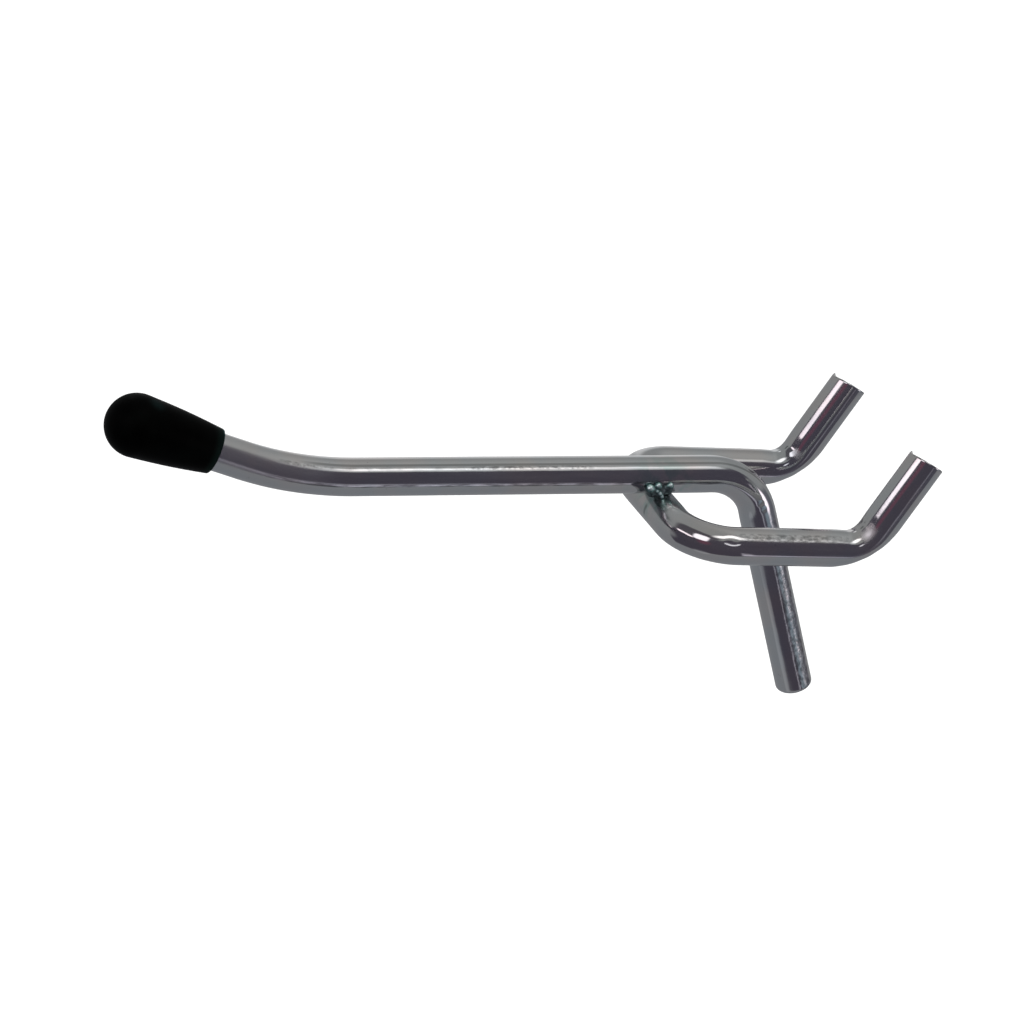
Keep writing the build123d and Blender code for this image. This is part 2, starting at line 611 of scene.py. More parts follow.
class BentWireTree:
    """Geometry Nodes tree that makes a bent round wire with cut ends from its corner points."""

    BEND_ATTRIBUTE = "bend_radius"
    INPUTS = {
        "Int": ("Rows", "Columns", "Bend Segments"),
        "Float": (
            *("Wire Radius", "End Rim", "Shear Slope", "Shear Drop", "Shear Grain", "Burr"),
            *("Ripple", "Tool Mark", "End Stretch", "Seat Height", "Seat Radius", "Seed"),
        ),
        "Vector": ("Shear Towards", "Burr Towards"),
        "Material": ("Material",),
    }
    CURVE_REACH = 2.0 * MM  # how far each way the bend is felt
    TIGHT_BEND = 6.7 * MM  # bend radius that presses the wire fully
    PRESS = (0.1, 1.0)  # bend for a tight one, from where the press starts to where it is full
    STRETCH = (0.1, 1.4)  # the same for the stretch near the ends
    STRETCH_REACH = (26 * MM, 22 * MM)  # from an end, where stretched bends end and are full
    SWELL = Pattern(420, 1, 0.35)
    FINE_SWELL = Pattern(1500, 1, 0.35)
    FINE_SHARE = 0.18
    LEAN_FADE = 3 * MM  # length of wall over which a sheared end's slope fades out
    BURR_WIDTH = 0.91  # cosine of the angle at which the burr starts
    BURR_INSET = 0.86  # share of the face at which the burr starts
    TEAR = Pattern(1300, 3)
    TEAR_DRAWN = (1, 0.35, 1)  # the tear runs along Y of the face
    TEAR_SHIFT = 3.1  # so that both ends differ

    def __init__(self) -> None:
        """Builds the tree with named inputs."""
        self.tree = bpy.data.node_groups.new("bent_wire", "GeometryNodeTree")
        self.identifiers = self._interface()
        self.graph = Graph(self.tree)
        self.given = self.graph.add("NodeGroupInput").outputs
        self._nodes()

    def _interface(self) -> dict[str, str]:
        """Returns:
            The identifier of each input by its name.
        """
        face = self.tree.interface
        face.new_socket("Geometry", in_out="INPUT", socket_type="NodeSocketGeometry")
        face.new_socket("Geometry", in_out="OUTPUT", socket_type="NodeSocketGeometry")
        identifiers = {}
        for kind, names in self.INPUTS.items():
            for name in names:
                socket = face.new_socket(name, in_out="INPUT", socket_type=f"NodeSocket{kind}")
                identifiers[name] = socket.identifier
        return identifiers

    def _path(self) -> Socket:
        """Rounds the corners and divides the line evenly.

        Returns:
            The path's curve.
        """
        graph, given = self.graph, self.given
        bend = graph.out(
            "GeometryNodeInputNamedAttribute", {"Name": self.BEND_ATTRIBUTE}, data_type="FLOAT"
        )
        corners = graph.out("GeometryNodeMeshToCurve", {"Mesh": given["Geometry"]})
        inputs = {"Curve": corners, "Count": given["Bend Segments"], "Radius": bend}
        rounded = graph.out("GeometryNodeFilletCurve", inputs, mode="POLY")
        inputs = {"Curve": rounded, "Count": given["Rows"]}
        return graph.out("GeometryNodeResampleCurve", inputs, mode="COUNT")

    def _outline(self, length: Socket) -> OutlinePlace:
        """Lays the grid's rows along the outline, and its columns round the wire.

        Args:
            length: The path's length.

        Returns:
            The place of each grid point.
        """
        graph, rim = self.graph, self.given["End Rim"]
        x, y, _ = graph.split(graph.out("GeometryNodeInputPosition"))
        face = graph.minus(self.given["Wire Radius"], rim)
        edge = graph.plus(face, graph.times(rim, math.pi / 2))
        total = graph.plus(length, graph.times(graph.minus(edge, rim), 2))
        along = graph.times(graph.plus(x, 0.5), total)
        half = graph.math("MINIMUM", along, graph.minus(total, along))
        turn = graph.math("DIVIDE", graph.minus(half, face), rim)
        turn = graph.math("MINIMUM", graph.math("MAXIMUM", turn, 0), math.pi / 2)
        sunk = graph.times(rim, graph.minus(1, graph.math("COSINE", turn)))
        depth = graph.plus(sunk, graph.math("MAXIMUM", graph.minus(half, edge), 0))
        far = graph.math("GREATER_THAN", along, graph.times(total, 0.5))
        inside = graph.math("MINIMUM", half, face)
        return OutlinePlace(
            half=half,
            face=face,
            edge=edge,
            far=far,
            angle=graph.times(graph.plus(y, 0.5), math.tau),
            reach=graph.plus(inside, graph.times(rim, graph.math("SINE", turn))),
            station=graph.plus(
                depth, graph.times(far, graph.minus(length, graph.times(depth, 2)))
            ),
        )

    def _sample(self, path: Socket, station: Socket) -> tuple[Socket, Socket, Socket]:
        """Reads the path at a length from its start.

        Args:
            path: The path's curve.
            station: The length.

        Returns:
            The place, the tangent and the normal there.
        """
        inputs = {"Curves": path, "Length": station}
        found = self.graph.add("GeometryNodeSampleCurve", inputs, mode="LENGTH").outputs
        return found["Position"], found["Tangent"], found["Normal"]

    def _bend_mark(self, path: Socket, spot: OutlinePlace, radial: Socket) -> Socket:
        """How deep the wire is pressed inside its bends and stretched thin outside them.

        Args:
            path: The path's curve.
            spot: The place on the outline.
            radial: Direction from the centre line.

        Returns:
            The depth.
        """
        graph, given, reach = self.graph, self.given, self.CURVE_REACH
        before = self._sample(path, graph.minus(spot.station, reach))[1]
        after = self._sample(path, graph.plus(spot.station, reach))[1]
        curve = graph.vector("SCALE", graph.vector("SUBTRACT", after, before), 0.5 / reach)
        inner = graph.times(graph.vector("DOT_PRODUCT", curve, radial), self.TIGHT_BEND)
        outer = graph.times(inner, -1)
        pressed = graph.plus(graph.step(inner, *self.PRESS), graph.step(outer, *self.PRESS))
        thinned = graph.times(given["End Stretch"], graph.step(outer, *self.STRETCH))
        near_end = graph.step(spot.half, *self.STRETCH_REACH)
        return graph.plus(graph.times(given["Tool Mark"], pressed), graph.times(near_end, thinned))

    def _ripple(self, run: Socket) -> Socket:
        """Waviness of the plated surface.

        Args:
            run: The wire's straightened coordinates.

        Returns:
            The height.
        """
        graph, given = self.graph, self.given
        seeded = graph.vector("ADD", run, graph.combine(given["Seed"], 0, 0))
        swell = graph.minus(graph.noise(seeded, self.SWELL), 0.5)
        fine = graph.minus(graph.noise(seeded, self.FINE_SWELL), 0.5)
        return graph.times(given["Ripple"], graph.plus(swell, graph.times(fine, self.FINE_SHARE)))

    def _jut(self, spot: OutlinePlace, run: Socket, radial: Socket) -> Socket:
        """How far a cut end stands out along the wire: its slope, burr and torn, grained face.

        Args:
            spot: The place on the outline.
            run: The wire's straightened coordinates.
            radial: Direction from the centre line.

        Returns:
            The distance along the path's tangent.
        """
        graph, given = self.graph, self.given
        half, face, edge = spot.half, spot.face, spot.edge
        lean = graph.vector("DOT_PRODUCT", radial, given["Shear Towards"])
        slope = graph.times(given["Shear Slope"], lean, spot.reach)
        slope = graph.times(
            graph.minus(slope, given["Shear Drop"]),
            graph.step(half, graph.plus(edge, self.LEAN_FADE), face),
        )
        towards = graph.vector("DOT_PRODUCT", radial, given["Burr Towards"])
        burr = graph.times(
            graph.step(towards, self.BURR_WIDTH, 1.0),
            graph.step(half, graph.times(face, self.BURR_INSET), face),
            graph.step(half, graph.plus(edge, given["End Rim"]), face),
            given["Burr"],
        )
        torn = graph.vector(
            "ADD",
            graph.vector("MULTIPLY", run, self.TEAR_DRAWN),
            graph.combine(graph.times(spot.far, self.TEAR_SHIFT), given["Seed"], 0),
        )
        faced = graph.minus(1, graph.step(half, face, graph.plus(face, given["End Rim"])))
        tear = graph.minus(graph.noise(torn, self.TEAR), 0.5)
        tear = graph.times(tear, given["Shear Grain"], faced)
        outward = graph.minus(graph.times(spot.far, 2), 1)
        return graph.times(graph.plus(slope, burr, tear), outward)

    def _seat(self, spot: Socket) -> Socket:
        """Presses the wire down where a wire along X at Y = 0 is seated in it.

        Args:
            spot: The place before pressing.

        Returns:
            The place after pressing.
        """
        graph, radius = self.graph, self.given["Seat Radius"]
        x, y, z = graph.split(spot)
        gap = graph.minus(z, self.given["Seat Height"])
        room = graph.minus(graph.times(radius, radius), graph.times(y, y))
        room = graph.math("SQRT", graph.math("MAXIMUM", room, 0))
        inside = graph.times(
            graph.math("LESS_THAN", graph.math("ABSOLUTE", gap), room),
            graph.math("LESS_THAN", gap, 0),
        )
        return graph.combine(x, y, graph.minus(z, graph.times(inside, graph.plus(room, gap))))

    def _nodes(self) -> None:
        """Adds the nodes: path, outline, section, marks, cut ends, seat and material."""
        graph, given = self.graph, self.given
        path = self._path()
        spot = self._outline(graph.out("GeometryNodeCurveLength", {"Curve": path}))

        # Section of the wire, and the straightened coordinates that its finish follows
        centre, tangent, normal = self._sample(path, spot.station)
        side = graph.vector("CROSS_PRODUCT", tangent, normal)
        cosine, sine = graph.math("COSINE", spot.angle), graph.math("SINE", spot.angle)
        radial = graph.vector(
            "ADD", graph.vector("SCALE", normal, cosine), graph.vector("SCALE", side, sine)
        )
        run = graph.combine(
            graph.times(spot.reach, cosine), graph.times(spot.reach, sine), spot.station
        )

        # Place of each grid point, with the marks of bending, plating and cutting
        push = graph.minus(self._ripple(run), self._bend_mark(path, spot, radial))
        swell = graph.plus(1, graph.math("DIVIDE", push, given["Wire Radius"]))
        radial_reach = graph.vector("SCALE", radial, graph.times(spot.reach, swell))
        jut = graph.vector("SCALE", tangent, self._jut(spot, run, radial))
        place = graph.vector("ADD", graph.vector("ADD", centre, radial_reach), jut)

        # Grid that is laid on those places, closed and dressed
        counts = {"Vertices X": given["Rows"], "Vertices Y": graph.plus(given["Columns"], 1)}
        mesh = graph.out("GeometryNodeMeshGrid", {"Size X": 1, "Size Y": 1, **counts})
        mesh = graph.out(
            "GeometryNodeStoreNamedAttribute",
            {"Geometry": mesh, "Name": RUN_ATTRIBUTE, "Value": run},
            data_type="FLOAT_VECTOR",
            domain="POINT",
        )
        inputs = {"Geometry": mesh, "Position": self._seat(place)}
        mesh = graph.out("GeometryNodeSetPosition", inputs)
        inputs = {"Geometry": mesh, "Distance": DOUBLES}
        mesh = graph.out("GeometryNodeMergeByDistance", inputs)
        mesh = graph.out("GeometryNodeSetShadeSmooth", {0: mesh})
        mesh = graph.out("GeometryNodeRealizeInstances", {0: mesh})
        inputs = {"Geometry": mesh, "Material": given["Material"]}
        graph.add("NodeGroupOutput", {0: graph.out("GeometryNodeSetMaterial", inputs)})

    def run(self, holder: bpy.types.Object, values: dict[str, object]) -> bpy.types.Mesh:
        """Runs the tree on an object's mesh.

        Args:
            holder: The object with the corner points, which is removed.
            values: The inputs' values by name.

        Returns:
            The wire as a plain mesh.
        """
        modifier = holder.modifiers.new("wire", "NODES")
        modifier.node_group = self.tree
        for name, value in values.items():
            modifier[self.identifiers[name]] = value
        depsgraph = bpy.context.evaluated_depsgraph_get()
        mesh = bpy.data.meshes.new_from_object(holder.evaluated_get(depsgraph))
        bpy.data.objects.remove(holder, do_unlink=True)
        return mesh


def add_object(name: str, mesh: bpy.types.Mesh) -> bpy.types.Object:
    """Adds an object with a mesh to the scene.

    Args:
        name: The object's name, which its mesh takes too.
        mesh: The mesh.

    Returns:
        The object.
    """
    mesh.name = name
    added = bpy.data.objects.new(name, mesh)
    bpy.context.collection.objects.link(added)
    return added


def turn_outwards(mesh: bpy.types.Mesh) -> None:
    """Merges doubles and turns every face of a closed mesh outwards.

    Args:
        mesh: The mesh.
    """
    work = bmesh.new()
    work.from_mesh(mesh)
    bmesh.ops.remove_doubles(work, verts=work.verts, dist=DOUBLES)
    bmesh.ops.recalc_face_normals(work, faces=work.faces)
    if work.calc_volume(signed=True) < 0:
        bmesh.ops.reverse_faces(work, faces=work.faces)
    work.to_mesh(mesh)
    work.free()


@dataclass(kw_only=True)
class Piece:
    """One piece of the hook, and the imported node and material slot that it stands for."""

    name: str
    node: str
    slot: Slot

    def place(self, mesh: bpy.types.Mesh) -> None:
        """Puts the finished mesh in the scene, in the node's stead.

        Args:
            mesh: The mesh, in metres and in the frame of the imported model.
        """
        piece = add_object(self.name, mesh)
        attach(piece, "root")
        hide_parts(self.node)
        LOG.info("%s: %d faces, stands for %s", self.name, len(mesh.polygons), self.node)


@dataclass(frozen=True)
class Dent:
    """A small pressed mark in a wire, from a bending tool or another hook, in millimetres."""

    place: Point
    radius: float
    depth: float

    def press(self, mesh: bpy.types.Mesh) -> None:
        """Presses the mark into a mesh along its normals.

        Args:
            mesh: The wire's mesh, in metres.
        """
        places = np.empty(len(mesh.vertices) * 3)
        mesh.vertices.foreach_get("co", places)
        places = places.reshape(-1, 3)
        normals = np.empty(len(mesh.vertices) * 3)
        mesh.vertices.foreach_get("normal", normals)
        apart = np.linalg.norm(places - np.array(self.place) * MM, axis=1) / (self.radius * MM)
        near = np.clip(1 - apart, 0, 1)
        depth = near**2 * (3 - 2 * near) * self.depth * MM
        places -= normals.reshape(-1, 3) * depth[:, None]
        mesh.vertices.foreach_set("co", places.ravel())


@dataclass(kw_only=True)
class BentWire(Piece):
    """One bent wire: its corner points, its bends and how it was cut, in millimetres."""

    slot: Slot = Slot.PLATED_WIRE
    corners: list[Vector]
    bend_radii: list[float]
    rows: int  # of points along the outline, and along the path
    columns: int = 96
    bend_segments: int = 48
    radius: float = WIRE_RADIUS
    end: WireEnd = WireEnd.SHEARED
    end_rim: float
    shear_towards: Point = (0.0, -1.0, 0.0)
    burr_towards: Point = (-0.72, 0.58, 0.38)
    ripple: float = 0.03
    tool_mark: float = 0.1
    end_stretch: float = 0.0
    seat_height: float = 0.0
    seat_radius: float = 0.0
    seed: float
    dents: tuple[Dent, ...]

    def _polyline(self) -> bpy.types.Object:
        """Makes the object that holds the corner points and their bend radii.

        Returns:
            The object.
        """
        mesh = bpy.data.meshes.new(self.name)
        points = [metres(corner) for corner in self.corners]
        mesh.from_pydata(points, [(i, i + 1) for i in range(len(points) - 1)], [])
        bend = mesh.attributes.new(BentWireTree.BEND_ATTRIBUTE, "FLOAT", "POINT")
        bend.data.foreach_set("value", [value * MM for value in (0.0, *self.bend_radii, 0.0)])
        return add_object(self.name + "_corners", mesh)

    def build(self, tree: BentWireTree, material: bpy.types.Material) -> None:
        """Builds, dresses and places the wire.

        Args:
            tree: The tree that makes bent wires.
            material: The wire's material.
        """
        cut = self.end.value
        lengths = {
            "Wire Radius": self.radius,
            "End Rim": self.end_rim,
            "Shear Drop": cut.drop,
            "Shear Grain": cut.grain,
            "Burr": cut.burr,
            "Ripple": self.ripple,
            "Tool Mark": self.tool_mark,
            "End Stretch": self.end_stretch,
            "Seat Height": self.seat_height,
            "Seat Radius": self.seat_radius,
        }
        values = {name: length * MM for name, length in lengths.items()} | {
            "Rows": self.rows,
            "Columns": self.columns,
            "Bend Segments": self.bend_segments,
            "Shear Slope": cut.slope,
            "Shear Towards": self.shear_towards,
            "Burr Towards": self.burr_towards,
            "Seed": self.seed,
            "Material": material,
        }
        mesh = tree.run(self._polyline(), values)
        turn_outwards(mesh)
        for dent in self.dents:
            dent.press(mesh)
        self.place(mesh)


@dataclass(frozen=True)
class Bead:
    """A drop of weld metal beside the arm, in millimetres.

    It lies along X from the cross-piece, out from the arm's side and up from the crown of the
    cross-piece; its painted highlight, from 0 to 1, says how strongly a highlight is painted on
    it.
    """

    along: float
    out: float
    rise: float
    radius: float
    painted_highlight: float = 0.0


# The last number of a drop is the strength of its painted highlight; drops without one stay dark.
RIGHT_BEADS = (
    Bead(-2.5, 0.1, 0.95, 0.66, 1.0),
    Bead(-1.35, 0.1, 1.3, 0.55, 0.85),
    Bead(0.4, 0.05, 1.35, 0.45, 0.95),
    Bead(-1.5, 0.45, 0.65, 0.3, 0.7),
    Bead(-1.15, 0.6, 0.35, 0.32, 1.0),
    Bead(-0.85, 0.75, 0.0, 0.28, 0.9),
    Bead(-2.1, -0.2, 0.5, 0.85),
    Bead(-1.0, -0.3, 0.6, 0.95),
    Bead(0.1, -0.2, 0.7, 0.8),
    Bead(-1.0, 0.2, 0.25, 0.6),
)
LEFT_BEADS = (
    Bead(-1.9, 0.0, 0.7, 0.85, 0.7),
    Bead(-0.8, 0.1, 0.9, 0.9, 0.5),
    Bead(0.5, 0.0, 0.7, 0.8, 0.8),
    Bead(-0.6, 0.6, 0.2, 0.6),
)


@dataclass(kw_only=True)
class WeldSeam(Piece):
    """Weld metal at one side of the joint: drops that run together over both wires."""

    SEARCH_REACH = 6.0  # millimetres from the middle, outside every drop
    SEARCH_ROUNDS = 60
    SEARCH_SHARE = 0.9  # of the distance left, taken in each round
    MELT = 3.0  # how sharply drops part within the blend
    HIGHLIGHT_TOWARDS = (-0.3, 0.75, 0.6)  # radii from a drop's centre to the middle of its painted highlight
    HIGHLIGHT_REACH = 1.25  # radii from there to where the painted highlight ends
    LUMPS = ((0.9, 1.0), (2.3, 0.4))  # waves for each millimetre and their share

    slot: Slot = Slot.WELD_METAL
    beads: tuple[Bead, ...]
    crown: Point
    side: int
    blend: float = 0.25
    grain: float = 0.03
    subdivisions: int = 6
    seed: float

    def _centre(self, bead: Bead) -> np.ndarray:
        """Centre of a drop in millimetres."""
        return np.array(self.crown) + (bead.along, self.side * bead.out, bead.rise)

    def _distance(self, points: np.ndarray) -> np.ndarray:
        """Signed distance to the drops, melted together.

        Args:
            points: Rows of X, Y and Z in millimetres.

        Returns:
            The distance of each row, negative inside.
        """
        total = 0.0
        for bead in self.beads:
            apart = np.linalg.norm(points - self._centre(bead), axis=1) - bead.radius
            total = total + np.exp(-apart / self.blend * self.MELT)
        return -np.log(total) * self.blend / self.MELT

    def _painted_highlight(self, points: np.ndarray) -> np.ndarray:
        """Painted highlight at each point: a bright spot on each drop's upper outward side, from 0
        to 1.

        Args:
            points: Rows of X, Y and Z in millimetres.

        Returns:
            The painted highlight of each row.
        """
        outward = np.array(self.HIGHLIGHT_TOWARDS) * (1, self.side, 1)
        shares = []
        for bead in self.beads:
            top = self._centre(bead) + outward * bead.radius
            apart = np.linalg.norm(points - top, axis=1) / bead.radius
            shares.append(np.clip(self.HIGHLIGHT_REACH - apart, 0, 1) * bead.painted_highlight)
        return np.max(shares, axis=0)

    def _lump(self, point: np.ndarray) -> float:
        """Unevenness of the frozen metal at a point, about -1 to 1."""
        where = Vector(point) + Vector((self.seed, 0, 0))
        return sum(share * noise.noise(where * waves) for waves, share in self.LUMPS)

    def build(self, material: bpy.types.Material) -> None:
        """Builds, dresses and places the seam.

        Args:
            material: The weld's material.
        """
        ball = bmesh.new()
        bmesh.ops.create_icosphere(ball, subdivisions=self.subdivisions, radius=1)
        rays = np.array([v.co[:] for v in ball.verts])
        rays /= np.linalg.norm(rays, axis=1)[:, None]
        centre = np.mean([self._centre(bead) for bead in self.beads], axis=0)
        reach = np.full(len(rays), self.SEARCH_REACH)
        for _ in range(self.SEARCH_ROUNDS):
            points = centre + rays * reach[:, None]
            reach -= np.maximum(self._distance(points), 0) * self.SEARCH_SHARE
        points = centre + rays * reach[:, None]
        # Painted highlight: a bright spot on each drop, which the material turns white and
        # blue-green
        painted_highlight = self._painted_highlight(points)
        lump = np.array([self._lump(p) for p in points])
        points += rays * (lump * self.grain)[:, None]
        for vertex, point in zip(ball.verts, points):
            vertex.co = Vector(point) * MM
        for polygon in ball.faces:
            polygon.smooth = True
        mesh = bpy.data.meshes.new(self.name)
        ball.to_mesh(mesh)
        ball.free()
        mesh.attributes.new(PAINTED_HIGHLIGHT_ATTRIBUTE, "FLOAT", "POINT").data.foreach_set("value", painted_highlight)
        mesh.materials.append(material)
        self.place(mesh)


def arc(centre: Range, radius: float, turn: Range, steps: int) -> list[Range]:
    """Points evenly along an arc, with both its ends.

    Args:
        centre: Its centre.
        radius: Its radius.
        turn: Angles of its two ends.
        steps: How many parts it is divided in.

    Returns:
        The points.
    """
    along, out = centre
    angles = [turn[0] + (turn[1] - turn[0]) * i / steps for i in range(steps + 1)]
    return [(along + radius * math.cos(a), out + radius * math.sin(a)) for a in angles]


@dataclass(kw_only=True)
class TipCap(Piece):
    """Soft vinyl cap, thin at its mouth and swelling to a round end, in millimetres."""

    END_STEPS = 60
    SIDE_STEPS = 80
    LIP_STEPS = 8
    RIM_STEPS = 6
    BORE_STEPS = 24
    FLOOR_STEPS = 6
    WAVES = ((0.004, 2, 0.7), (0.003, 3, 0.0))  # share of the radius, number and start

    name: str = "dipped_tip_cap"
    node: str = "tip_cap"
    slot: Slot = Slot.CAP_VINYL
    mouth: Vector
    direction: Vector
    bore_radius: float
    bore_length: float
    mouth_wall: float = 0.53
    end_wall: float = 4.4
    end_radius: float = 4.13
    lip: float = 0.22
    rim: float = 0.12
    mouth_trim: float = 0.15
    mouth_slant: float = 0.55
    side_swell: float = 0.12
    columns: int = 128

    def _profile(self) -> list[Range]:
        """Half profile from the round end over the mouth into the bore.

        Returns:
            Places along the cap and distances from its axis.
        """
        quarter, lip, rim, inner = math.pi / 2, self.lip, self.rim, self.bore_radius
        mouth_radius = inner + self.mouth_wall
        middle = self.bore_length + self.end_wall - self.end_radius
        slope = math.asin(self.end_radius / math.hypot(middle, mouth_radius))
        slope -= math.atan2(mouth_radius, middle)
        outline = arc((middle, 0), self.end_radius, (0, quarter + slope), self.END_STEPS)
        along, out = outline[-1]
        for share in (i / self.SIDE_STEPS for i in range(1, self.SIDE_STEPS)):
            swell = self.side_swell * math.sin(math.pi * share)
            wall = out + (mouth_radius - out) * share + swell
            outline.append((along + (lip - along) * share, wall))
        outline += arc((lip, mouth_radius - lip), lip, (quarter, 2 * quarter), self.LIP_STEPS)
        outline.append((0.0, (mouth_radius - lip + inner) / 2))
        outline += arc((rim, inner + rim), rim, (2 * quarter, 3 * quarter), self.RIM_STEPS)
        for i in range(1, self.BORE_STEPS + 1):
            outline.append((self.bore_length * i / self.BORE_STEPS, inner))
        for i in range(1, self.FLOOR_STEPS + 1):
            outline.append((self.bore_length, inner * (1 - i / self.FLOOR_STEPS)))
        return outline

    def _point(self, along: float, out: float, angle: float) -> Vector:
        """Place of a profile point turned about the cap's axis.

        Args:
            along: Its place along the cap.
            out: Its distance from the axis.
            angle: The turn.

        Returns:
            The place, with the mouth's slant and the mould's unevenness, in metres.
        """
        side = Vector((0, 1, 0))
        ring = side * math.cos(angle) + self.direction.cross(side) * math.sin(angle)
        uneven = 1 + sum(h * math.sin(n * angle + start) for h, n, start in self.WAVES)
        trim = self.mouth_trim + self.mouth_slant * max(-ring.y, 0)
        reach = along + trim * max(1 - along / self.bore_length, 0)
        return (self.mouth + self.direction * reach + ring * out * uneven) * MM

    def build(self, material: bpy.types.Material) -> None:
        """Builds, dresses and places the cap.

        Args:
            material: The cap's material.
        """
        profile = self._profile()
        turns = [math.tau * j / self.columns for j in range(self.columns)]
        points = [self._point(along, out, turn) for along, out in profile for turn in turns]
        faces = []
        for a in range(0, len(points) - self.columns, self.columns):
            for j in range(self.columns):
                k, b = (j + 1) % self.columns, a + self.columns
                faces.append((a + j, a + k, b + k, b + j))
        mesh = bpy.data.meshes.new(self.name)
        mesh.from_pydata(points, [], faces)
        turn_outwards(mesh)
        mesh.polygons.foreach_set("use_smooth", [True] * len(mesh.polygons))
        mesh.materials.append(material)
        self.place(mesh)


ARM_FINISH = PlatedWireFinish(
    name="plated_arm_wire",
    grainy=Band(112, 17, -23, 24),
    # Painted specks that break up the arm's reflected lines
    marks=(
        Mark(Band(23, 2, -49, 5, 3), 0.55, 1.3),
        Mark(Band(37, 8, -49, 5), 0.85, 3.0),
        Mark(Band(54, 7, -49, 5, 4), 0.5, 1.5),
        Mark(Band(50, 31, 4, 4.5, 2), 0.4, 6.0),
    ),
    # Painted dark line along the arm, standing in for a thin dark reflection
    scratches_and_painted_lines=(Band(56, 30, -60, 4),),
    dull=(Band(9, 15),),
)
PRONG_FINISH = PlatedWireFinish(
    name="plated_prong_wire",
    grainy=Band(25.5, 5, -128, 12),
    mottle_height=0.014,
    # A small dark scratch on the cross-piece
    scratches_and_painted_lines=(Band(46.35, 0.12, -176, 16, 0.25),),
    dull=(Band(12.6, 1.0, -133, 19, 1.2), Band(84.9, 0.3, -35, 14, 0.9)),
    dulling=0.3,
    warmed=0.12,
)
ARM_DENTS = (
    Dent((-10.85, -2.49, 1.9), 0.7, 0.05),
    Dent((-10.2, -2.46, 1.0), 0.6, 0.05),
)
PRONG_DENTS = (
    Dent((-20.1, -14.3, 2.2), 1.3, 0.07),
    Dent((-27.4, -2.5, 1.55), 0.45, 0.06),
    Dent((-27.43, -3.67, 1.4), 0.4, 0.05),
    Dent((-1.6, -11.8, 2.85), 1.6, 0.26),
    Dent((-1.6, 13.2, 2.85), 1.6, 0.26),
)


@dataclass(frozen=True)
class DoubleHook:
    """The whole hook, from its driving sizes in millimetres and degrees."""

    arm_length: float = 64.0
    tip_length: float = 23.0
    tip_rise: float = 18.5
    tip_bend: float = 50.0
    leg_length: float = 34.5
    leg_fall: float = 67.8
    leg_bend: float = 8.6
    arm_end_rim: float = 0.55
    prong_pitch: float = 25.0
    prong_reach: float = 25.0
    prong_fall: float = 2.1
    prong_length: float = 14.6
    prong_rise: float = 64.0
    prong_bend: float = 5.2
    prong_end_rim: float = 0.1
    prong_stretch: float = 0.5
    cross_bend: float = 6.7
    cross_setback: float = 12.8
    weld_set_down: float = 0.72
    cap_depth: float = 11.3
    cap_clearance: float = 0.02

    def cross(self) -> Vector:
        """Middle of the cross-piece's centre line."""
        return slant(180 - self.prong_fall) * self.prong_reach

    def rear(self) -> Vector:
        """Rear corner of the arm wire, which is seated on the cross-piece."""
        seated = 2 * WIRE_RADIUS - self.weld_set_down
        return self.cross() + Vector((self.cross_setback, 0, seated))

    def tip_corner(self) -> Vector:
        """Corner where the tip turns up from the arm."""
        return self.rear() - Vector((self.arm_length, 0, 0))

    def tip_run(self) -> Vector:
        """Direction of the tip, away from the arm."""
        return slant(180 - self.tip_rise)

    def tip_end(self) -> Vector:
        """End of the arm wire inside the cap."""
        return self.tip_corner() + self.tip_run() * self.tip_length

    def arm_wire(self) -> BentWire:
        """Arm wire: tip, arm, rear bend and leg.

        Returns:
            The wire.
        """
        leg_end = self.rear() + slant(-self.leg_fall) * self.leg_length
        return BentWire(
            name="arm_wire",
            node="hook_arm",
            corners=[self.tip_end(), self.tip_corner(), self.rear(), leg_end],
            bend_radii=[self.tip_bend, self.leg_bend],
            rows=790,
            end=WireEnd.TUMBLED,
            end_rim=self.arm_end_rim,
            seed=2.3,
            dents=ARM_DENTS,
        )

    def prong_wire(self) -> BentWire:
        """Prong wire: a U whose ends turn up behind the board.

        Returns:
            The wire.
        """
        run = slant(self.prong_rise - self.prong_fall) * self.prong_length
        across = Vector((0, self.prong_pitch / 2, 0))
        right = [run - across, -across, self.cross() - across]
        left = [self.cross() + across, across, run + across]
        return BentWire(
            name="prong_u_wire",
            node="prong_wire",
            corners=right + left,
            bend_radii=[self.prong_bend, self.cross_bend, self.cross_bend, self.prong_bend],
            rows=839,
            end_rim=self.prong_end_rim,
            end_stretch=self.prong_stretch,
            seat_height=self.rear().z,
            seat_radius=WIRE_RADIUS,
            seed=5.9,
            dents=PRONG_DENTS,
        )

    def weld(self, side: Side, beads: tuple[Bead, ...], seed: float) -> WeldSeam:
        """One side's weld seam.

        Args:
            side: The side of the arm.
            beads: The drops.
            seed: Seed of the unevenness.

        Returns:
            The seam.
        """
        word, cross = side.name.lower(), self.cross()
        return WeldSeam(
            name=f"weld_bead_{word}",
            node=f"weld_{word}",
            beads=beads,
            crown=(cross.x, side.value * WIRE_RADIUS, cross.z + WIRE_RADIUS),
            side=side.value,
            seed=seed,
        )

    def tip_cap(self) -> TipCap:
        """Cap on the tip, a little wider than the wire.

        Returns:
            The cap.
        """
        return TipCap(
            mouth=self.tip_end() - self.tip_run() * self.cap_depth,
            direction=self.tip_run(),
            bore_radius=WIRE_RADIUS + self.cap_clearance,
            bore_length=self.cap_depth + self.cap_clearance,
        )

    def build(self) -> None:
        """Builds every piece in order."""
        tree = BentWireTree()
        self.arm_wire().build(tree, ARM_FINISH.build())
        self.prong_wire().build(tree, PRONG_FINISH.build())
        metal = WeldFinish().build()
        self.weld(Side.RIGHT, RIGHT_BEADS, 4.0).build(metal)
        self.weld(Side.LEFT, LEFT_BEADS, 9.0).build(metal)
        cap = self.tip_cap()
        cap.build(VinylFinish(mouth=cap.mouth, direction=cap.direction).build())


